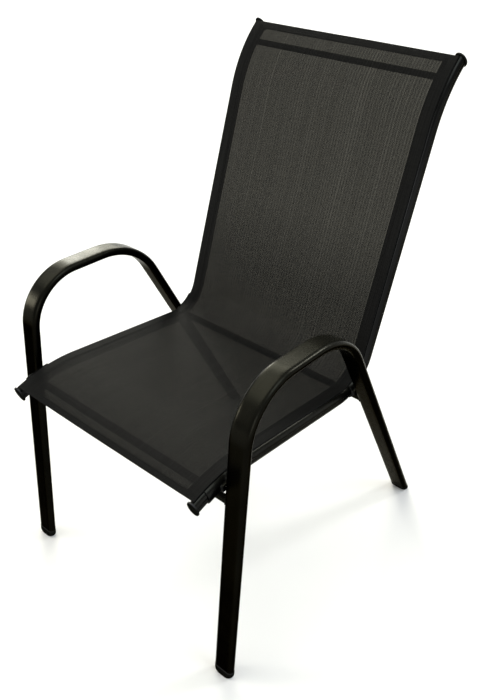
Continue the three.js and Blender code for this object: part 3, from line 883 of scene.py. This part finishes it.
def foot_cap(name, side, end):
    """Sole that stands flat on the floor, and the plug that holds it in the tube."""
    floor, up = (0.0, 1) if end == "front" else (HOOP.length, -1)
    _, _, heading = HOOP.at(floor)
    width = HOOP_WIDTH + 2 * SOLE_PROUD
    thickness = HOOP_THICKNESS + 2 * SOLE_PROUD
    rings = []
    for share in SOLE_RING_SHARES:
        height = share * SOLE_HEIGHT
        corner = drawn_in(SOLE_CORNER, height)
        edge = SOLE_PROUD if share == 1 else drawn_in(SOLE_EDGE, height)
        ring = []
        for across, out in flat_oval(width - 2 * corner - 2 * edge, thickness - 2 * edge):
            rise = side * across * math.tan(HOOP_LEAN) + out * math.cos(heading)
            start = -rise / (up * math.sin(heading))
            y, z, _ = HOOP.at(floor + up * (start + (SOLE_HEIGHT - start) * share), out)
            ring.append(leaned(across, y, z, side))
        rings.append(ring)
    inset = 2 * (HOOP_WALL + CLEARANCE)
    plug = flat_oval(HOOP_WIDTH - inset, HOOP_THICKNESS - inset)
    for level in (SOLE_HEIGHT, SOLE_HEIGHT + PLUG_LENGTH):
        rings.append(hoop_ring(floor + up * level, plug, side))
    points, faces = solid_loft(rings)
    add_piece(
        f"{name}_{end}_foot", points, faces, PLASTIC, [f"{name}_{end}_foot_cap"], sharp=50)


# Crossbars, welded between the hoops

def coped_end(y, z, heading, offset_y, offset_z):
    """x where a bar's surface line meets the leg's rounded inner edge."""
    radius = HOOP_THICKNESS / 2
    off = -offset_y * math.sin(heading) + offset_z * math.cos(heading)
    return hoop_centre_x(z + offset_z) - (HOOP_WIDTH / 2 - radius) - math.sqrt(radius ** 2 - off ** 2)


def weld_bead(side, y, z, heading):
    """Rippled fillet round the joint of bar and leg."""
    rings = []
    for angle in round_angles(WELD_RIPPLE_STEPS * WELD_RIPPLES):
        ripple = WELD_UNEVEN_SHARE * math.cos(WELD_RIPPLES * angle)
        wave = WELD_UNEVEN_SHARE * math.sin(WELD_WAVES * angle + side)
        offset = Vector((0, math.cos(angle), math.sin(angle)))
        x = coped_end(y, z, heading, CROSSBAR_RADIUS * offset.y, CROSSBAR_RADIUS * offset.z)
        centre = Vector((side * x, y, z)) + offset * CROSSBAR_RADIUS
        rings.append([
            centre + Vector((side * across, 0, 0)) + offset * out
            for across, out in circle(WELD_RADIUS * (1 + ripple + wave), WELD_STEPS)])
    rings.append(rings[0])
    return skin(rings)


def crossbar(name, y, z, heading):
    """Bar coped to both legs, with its welds."""
    rings = []
    for share in CROSSBAR_RING_SHARES:
        ring = []
        for offset_y, offset_z in circle(CROSSBAR_RADIUS, CROSSBAR_STEPS):
            reach = coped_end(y, z, heading, offset_y, offset_z) - CLEARANCE
            ring.append(Vector((share * reach, y + offset_y, z + offset_z)))
        rings.append(ring)
    points, faces = merge(solid_loft(rings), *(weld_bead(side, y, z, heading) for _, side in SIDES))
    add_piece(f"{name}_crossbar_tube", points, faces, COAT, [f"{name}_crossbar"])


def top_spreader():
    """Rod between the rails, its ends chamfered and seated in their walls."""
    y, z, _ = RAIL.at(RAIL.length - SPREADER_FROM_TOP)
    tip = RAIL_X - RAIL_WIDTH / 2 + SPREADER_SEAT
    body = tip - SPREADER_EDGE
    rings = []
    for x in (-tip, -body, -tip / 2, 0, tip / 2, body, tip):
        radius = SPREADER_RADIUS - (SPREADER_EDGE if abs(x) == tip else 0)
        rings.append([Vector((x, y + across, z + out)) for across, out in circle(radius, SPREADER_STEPS)])
    points, faces = solid_loft(rings)
    add_piece("top_spreader_rod", points, faces, COAT, ["top_spreader"])


# Side rails and their end caps

def rail_ring(along, outline, side):
    """A ring of (across, out) points square to the rail at a distance along it."""
    return [
        Vector((side * (RAIL_X + across), *RAIL.at(along, out)[:2])) for across, out in outline]


def rail_point(angle, inset):
    """A point of the rail's oval, drawn in towards the groove along each flank."""
    out = (RAIL_DEPTH / 2 - inset) * math.sin(angle)
    spread = GROOVE_SPREAD_SHARE * RAIL_DEPTH / 2
    groove = GROOVE_SHARE * math.exp(-((out / spread) ** 2))
    return (RAIL_WIDTH / 2 - inset) * math.cos(angle) * (1 - groove), out


def rounded_lip(start, end):
    """Half round from one face of the wall to the other, bulging into the slot."""
    start, end = Vector(start), Vector(end)
    middle = (start + end) / 2
    arm = start - middle
    bulge = Vector((-arm.y, arm.x)) * LIP_BULGE_SHARE
    angles = [math.pi * step / (LIP_STEPS + 1) for step in range(1, LIP_STEPS + 1)]
    return [tuple(middle + arm * math.cos(angle) + bulge * math.sin(angle)) for angle in angles]


def rail_outline():
    """The slotted wall, out along its outer face and back along the inner one."""
    walls = []
    for inset in (0.0, RAIL_WALL):
        width = RAIL_WIDTH / 2 - inset
        outer_lip = math.acos((SLOT_OFFSET + SLOT_WIDTH / 2) / width)
        inner_lip = math.acos((SLOT_OFFSET - SLOT_WIDTH / 2) / width)
        sweep = 2 * math.pi + outer_lip - inner_lip
        angles = [inner_lip + sweep * step / RAIL_STEPS for step in range(RAIL_STEPS + 1)]
        walls.append([rail_point(angle, inset) for angle in angles])
    outer, inner = walls
    far_lip, near_lip = rounded_lip(outer[-1], inner[-1]), rounded_lip(inner[0], outer[0])
    return [*outer, *far_lip, *reversed(inner), *near_lip]


def side_rail(name, side):
    """Slotted rail that one side of the sling hangs in."""
    outline = rail_outline()
    places = RAIL.stations(0, RAIL.length, TUBE_STEP)
    points, faces = wall_loft([rail_ring(along, outline, side) for along in places], LIP_STEPS)
    add_piece(f"{name}_rail_tube", points, faces, RAIL_SHEEN_COAT, [f"{name}_sling_rail"], sharp=50)


def grown_rail(grow, angles, squeeze=1):
    """The rail's oval without its grooves, grown all round, as (across, out)."""
    width, depth = RAIL_WIDTH / 2 + grow, RAIL_DEPTH / 2 + grow
    return [(width * math.cos(angle) * squeeze, depth * math.sin(angle)) for angle in angles]


def rail_cap(name, side, end):
    """Oval flange over the rail's end, crowned outside, with a plug inside the rail."""
    start, away = (0.0, -1) if end == "front" else (RAIL.length, 1)
    plug = -RAIL_WALL - 2 * LAYER - CLEARANCE
    narrow = 1 - GROOVE_SHARE
    profile = [
        (-CAP_PLUG_LENGTH, plug - CAP_PLUG_TAPER, narrow),
        (-CAP_PLUG_LENGTH + CAP_PLUG_POINT, plug, narrow),
        (CLEARANCE, plug, narrow),
        (CLEARANCE, CAP_PROUD - CAP_EDGE, 1),
        (CLEARANCE + CAP_EDGE, CAP_PROUD, 1),
        *((level, CAP_PROUD - inset, 1) for level, inset in CAP_CROWN),
    ]
    angles = round_angles(CAP_STEPS)
    points, faces = solid_loft([
        rail_ring(start + away * level, grown_rail(grow, angles, squeeze), side)
        for level, grow, squeeze in profile])
    add_piece(
        f"{name}_{end}_end_cap", points, faces, PLASTIC, [f"{name}_{end}_rail_cap"], sharp=50)


# Brackets and bolts, where the rails cross the legs

def crossing(leg_y, start, end):
    """Distance along the rail where its line crosses a leg's line."""
    for _ in range(HALVINGS):
        middle = (start + end) / 2
        y, z, _ = RAIL.at(middle)
        if y < leg_y(z):
            start = middle
        else:
            end = middle
    return start


def clip(side, start, end):
    """Curved plate round the outboard half of the rail, thinner at its edges."""
    span = CLIP_TOP_ANGLE - CLIP_BOTTOM_ANGLE
    angles = [
        math.radians(CLIP_BOTTOM_ANGLE + span * step / CLIP_STEPS) for step in range(CLIP_STEPS + 1)]
    rings = []
    whole = RAIL.stations(start + CLIP_EDGE, end - CLIP_EDGE, CLIP_STEP)
    for along in (start, *whole, end):
        thinner = 0 if along in whole else CLIP_EDGE
        inner = grown_rail(CLEARANCE + thinner / 2, angles)
        outer = grown_rail(CLEARANCE + CLIP_THICKNESS - thinner, angles)
        rings.append(rail_ring(along, inner + outer[::-1], side))
    return wall_loft(rings)


def rounded_box(half, low, high):
    """Outline of a box with rounded corners, as (forward, out)."""
    reach, bottom, top = half - PAD_CORNER, low + PAD_CORNER, high - PAD_CORNER
    points = []
    for turn, (x, y) in enumerate(((reach, top), (-reach, top), (-reach, bottom), (reach, bottom))):
        for step in range(CORNER_STEPS + 1):
            angle = math.pi / 2 * (turn + step / CORNER_STEPS)
            points.append((x + PAD_CORNER * math.cos(angle), y + PAD_CORNER * math.sin(angle)))
    return points


def pad(side, along):
    """Block from the clip to the leg, filleted at its root."""
    _, z, _ = RAIL.at(along)
    root = RAIL_WIDTH / 2 + PAD_ROOT
    tip = hoop_centre_x(z) - HOOP_WIDTH / 2 - CLEARANCE - RAIL_X
    rings = []
    profile = [(root + out, grow) for out, grow in PAD_FILLET]
    for across, grow in (*profile, (tip - PAD_EDGE, 0), (tip, -PAD_EDGE)):
        ring = []
        for forward, out in rounded_box(PAD_LENGTH / 2 + grow, PAD_BOTTOM - grow, PAD_TOP + grow):
            y, z, _ = RAIL.at(along + forward, out)
            ring.append(Vector((side * (RAIL_X + across), y, z)))
        rings.append(ring)
    return solid_loft(rings)


def bracket(name, side, corner, along):
    """Clip round the rail, with a pad that reaches the leg."""
    points, faces = merge(clip(side, *CLIPS[corner]), pad(side, along))
    add_piece(f"{name}_{corner}_bracket", points, faces, RAIL_SHEEN_COAT, [f"{name}_{corner}_rail_bracket"])


def rail_bolt(name, side, corner, along):
    """Button-head bolt with a hexagonal socket, on the rail's inboard side."""
    y, z, _ = RAIL.at(along)
    seat = RAIL_X - RAIL_WIDTH / 2 - CLEARANCE
    face = seat - BOLT_HEAD_HEIGHT
    tip = hoop_centre_x(z) - HOOP_WIDTH / 2 + BOLT_REACH
    angles = round_angles(BOLT_STEPS)
    even = [1] * BOLT_STEPS
    side_angle = math.pi / 3
    hexagon = [1 / math.cos((angle + side_angle / 2) % side_angle - side_angle / 2) for angle in angles]
    profile = [
        (tip, BOLT_RADIUS * BOLT_TIP_SHARE, even),
        (tip - BOLT_TIP_EDGE, BOLT_RADIUS, even),
        (seat, BOLT_RADIUS, even),
        (seat, BOLT_HEAD_RADIUS - BOLT_HEAD_EDGE, even),
        *((seat - down, BOLT_HEAD_RADIUS * share, even) for down, share in BOLT_CROWN),
        (face, BOLT_SOCKET / 2, hexagon),
        (face + BOLT_SOCKET_DEPTH, BOLT_SOCKET / 2, hexagon),
    ]
    rings = []
    for x, radius, shape in profile:
        rings.append([
            Vector((side * x, y + radius * reach * math.cos(angle), z + radius * reach * math.sin(angle)))
            for angle, reach in zip(angles, shape)])
    points, faces = solid_loft(rings)
    add_piece(
        f"{name}_{corner}_bolt", points, faces, STEEL, [f"{name}_{corner}_rail_bolt"], sharp=30)


# The sling

def swell(along, start, end):
    """0 at both ends and 1 half way, with a smooth rise and fall."""
    return math.sin(math.pi * (along - start) / (end - start)) ** 2


def slack(along):
    """How far the middle of the sheet stands off the line between the rails."""
    if along < CORNER_START:
        front = 1 - (along - SLING_SETBACK) / (CORNER_START - SLING_SETBACK)
        return -FRONT_SAG * front - SEAT_SAG * swell(along, SLING_SETBACK, CORNER_START)
    if along < CORNER_END:
        return CORNER_LIFT * swell(along, CORNER_START, CORNER_END)
    return -BACK_SAG * swell(along, CORNER_END, SHEET_END)


def sheet_point(x, along, out):
    """A point of the sheet, out from the rails' line, with its slack and small waves."""
    middle = 1 - min(1.0, abs(x) / RAIL_X) ** 2
    wave = 0.0
    for height, across_rate, along_rate, place in WAVES:
        wave += height * noise.noise(Vector((x * across_rate, along * along_rate, place)))
    y, z, _ = RAIL.at(along, out + (slack(along) + wave) * middle)
    return Vector((x, y, z))


def fold(along, away, out):
    """Rows round the fold at an end of the sheet: away is -1 at the front and 1 at the top."""
    radius = away * FOLD_RADIUS
    turns = [math.pi * step / FOLD_STEPS for step in range(1, FOLD_STEPS)]
    return [(along + radius * math.sin(turn), out - radius * (1 - math.cos(turn))) for turn in turns]


def sheet_rows():
    """(distance along, out) of each row: under the front hem, over the chair and
    under the top hem."""
    under = SHEET_OUT - 2 * FOLD_RADIUS
    front = SLING_SETBACK + FOLD_RADIUS
    back = SHEET_END - FOLD_RADIUS
    front_run = (FRONT_HEM - FOLD_RADIUS) / FRONT_HEM_ROWS
    top_run = (TOP_HEM - FOLD_RADIUS) / TOP_HEM_ROWS
    return [
        *((front + front_run * row, under) for row in range(FRONT_HEM_ROWS, -1, -1)),
        *fold(front, -1, under),
        *((along, SHEET_OUT) for along in RAIL.stations(front, back, SHEET_STEP)),
        *fold(back, 1, SHEET_OUT),
        *((back - top_run * row, under) for row in range(TOP_HEM_ROWS + 1)),
    ]


def sheet_columns():
    """(x, drop) of each column: level, and turned down into the slot at both ends."""
    level = EDGE_X - TURN_START
    columns = [(level * step / SHEET_COLUMNS, 0.0) for step in range(SHEET_COLUMNS + 1)]
    columns += [(EDGE_X + across, drop) for across, drop in SHEET_TURN]
    return [(-x, drop) for x, drop in reversed(columns[1:])] + columns


def layer(name, rows, columns, side, material, nodes=()):
    """One layer of mesh through every (row, column), with a UV map in metres that says
    how far across and along the sheet each place is."""
    points, faces = skin([
        [sheet_point(side * x, along, out - drop) for x, drop in columns] for along, out in rows
    ], wrap=False)
    places = [(x, along) for along, _ in rows for x, _ in columns]
    piece = add_piece(name, points, faces, material, nodes, sharp=80, closed=False)
    map_layer = piece.data.uv_layers.new(name="sheet")
    for loop in piece.data.loops:
        map_layer.data[loop.index].uv = places[loop.vertex_index]
    return piece


def side_hem(name, side):
    """Second layer of the side hem, from its seam out into the slot."""
    columns = [(HALF_FIELD + step * HEM_COLUMN, UNDER_LAYER) for step in range(HEM_COLUMNS)]
    columns += [(EDGE_X + across, drop) for across, drop in HEM_TURN]
    start = SLING_SETBACK + FRONT_HEM + CROSS_SEAM_INSET
    places = RAIL.stations(start, SHEET_END - TOP_HEM - CROSS_SEAM_INSET, HEM_STEP)
    return layer(f"{name}_side_hem", [(along, SHEET_OUT) for along in places], columns, side, HEM)


def stitch(start, end, lift):
    """One stitch: a short bulging capsule from start to end, standing on the sheet."""
    run = end - start
    across = run.cross(lift).normalized()
    rings = []
    for share, size in STITCH_SHAPE_SHARES:
        centre = start + run * share + lift * STITCH_RADIUS * (size - STITCH_SINK_SHARE)
        rings.append([
            centre + across * x + lift * y for x, y in circle(STITCH_RADIUS * size, STITCH_STEPS)])
    return solid_loft(rings)


def seam(place_at, length):
    """Stitches along a line on the sheet; place_at gives a point at a distance."""
    bodies = []
    for index in range(int(length / STITCH_PITCH)):
        start = place_at((index + STITCH_START_SHARE) * STITCH_PITCH, 0.0)
        end = place_at((index + STITCH_END_SHARE) * STITCH_PITCH, 0.0)
        middle = index + (STITCH_START_SHARE + STITCH_END_SHARE) / 2
        above = place_at(middle * STITCH_PITCH, LIFT_PROBE)
        bodies.append(stitch(start, end, (above - (start + end) / 2).normalized()))
    return bodies


def seams():
    """Two rows down each side hem, and one row along the front and top hems."""
    bodies = []
    first = SLING_SETBACK + SIDE_SEAM_END
    length = SHEET_END - SIDE_SEAM_END - first
    for inset in SIDE_SEAM_INSETS:
        for _, side in SIDES:
            x = side * (HALF_FIELD + inset)
            bodies += seam(lambda run, up, x=x: sheet_point(x, first + run, SHEET_OUT + up), length)
    half = HALF_FIELD - CROSS_SEAM_INSET
    for along in (SLING_SETBACK + FRONT_HEM - CROSS_SEAM_INSET, SHEET_END - TOP_HEM + CROSS_SEAM_INSET):
        bodies += seam(
            lambda run, up, along=along: sheet_point(run - half, along, SHEET_OUT + up), 2 * half)
    points, faces = merge(*bodies)
    return add_piece("sling_stitches", points, faces, THREAD, (), sharp=60)


def build_sling():
    sheet = layer("sling_sheet", sheet_rows(), sheet_columns(), 1, MESH, ["sling"])
    hems = [side_hem(name, side) for name, side in SIDES]
    seams()


def build_chair():
    for name, side in SIDES:
        leg_hoop(name, side)
        for end in ("front", "rear"):
            foot_cap(name, side, end)
        side_rail(name, side)
        for end in ("top", "front"):
            rail_cap(name, side, end)
        for corner, leg_y, start, end in (
                ("front", front_leg_y, 0, CORNER_START), ("rear", rear_leg_y, CORNER_START, CORNER_END)):
            along = crossing(leg_y, start, end)
            bracket(name, side, corner, along)
            rail_bolt(name, side, corner, along)
    for name, leg_y, height, foot in (
            ("front", front_leg_y, FRONT_CROSSBAR_HEIGHT, 0.0),
            ("rear", rear_leg_y, REAR_CROSSBAR_HEIGHT, HOOP.length)):
        _, _, heading = HOOP.at(foot)
        crossbar(name, leg_y(height), height, heading)
    top_spreader()
    build_sling()


def dress_solids():
    """The solids that stay as they are get their material."""
    for name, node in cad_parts.items():
        for word, material in (("insert", STEEL), ("hem_rod", PLASTIC)):
            if word in name:
                node.data.materials.clear()
                node.data.materials.append(material)


# Studio: the floor's reach, the surround, and soft lights by where they come from,
# their spread in degrees, their strength and their colour
FLOOR_REACH = 60.0
SURROUND_COLOR = (0.97, 0.99, 1.0)
SURROUND_STRENGTH = 0.40
SUNS = (
    ("key", (-0.80, -0.56, 0.22), 16, 1.3, (1.0, 0.95, 0.84)),
    ("back", (-0.66, 0.60, 0.46), 44, 2.2, (1.0, 0.98, 0.84)),
    ("glint", (-0.73, 0.55, 0.42), 10, 0.5, (1.0, 0.99, 0.92)),
    ("rim", (0.40, 0.75, 0.52), 14, 1.0, (1.0, 1.0, 0.98)),
    ("top", (-0.45, -0.10, 0.88), 50, 1.2, (1.0, 0.98, 0.86)),
    ("side", (0.72, -0.68, 0.15), 30, 0.8, (0.96, 0.98, 1.0)),
    ("sky", (0.72, 0.15, 0.64), 32, 0.95, (0.84, 0.93, 1.0)),
)


def add_sun(name, direction, spread, strength, color):
    data = bpy.data.lights.new(name, "SUN")
    data.angle = math.radians(spread)
    data.energy = strength
    data.color = color
    lamp = bpy.data.objects.new(name, data)
    bpy.context.scene.collection.objects.link(lamp)
    lamp.rotation_mode = "QUATERNION"
    lamp.rotation_quaternion = Vector(direction).to_track_quat("Z", "Y")


def studio():
    """Pale floor, soft lights and a dim surround."""
    mesh = bpy.data.meshes.new("floor")
    corners = [(x * FLOOR_REACH, y * FLOOR_REACH, 0) for x, y in ((-1, -1), (1, -1), (1, 1), (-1, 1))]
    mesh.from_pydata(corners, [], [(0, 1, 2, 3)])
    mesh.materials.append(pale_floor())
    floor = bpy.data.objects.new("floor", mesh)
    bpy.context.scene.collection.objects.link(floor)
    world = bpy.data.worlds.new("surround")
    bpy.context.scene.world = world
    world.use_nodes = True
    background = world.node_tree.nodes["Background"]
    background.inputs["Color"].default_value = opaque(SURROUND_COLOR)
    background.inputs["Strength"].default_value = SURROUND_STRENGTH
    for sun in SUNS:
        add_sun(*sun)
    bpy.context.scene.view_settings.view_transform = "Standard"


build_chair()
dress_solids()
studio()
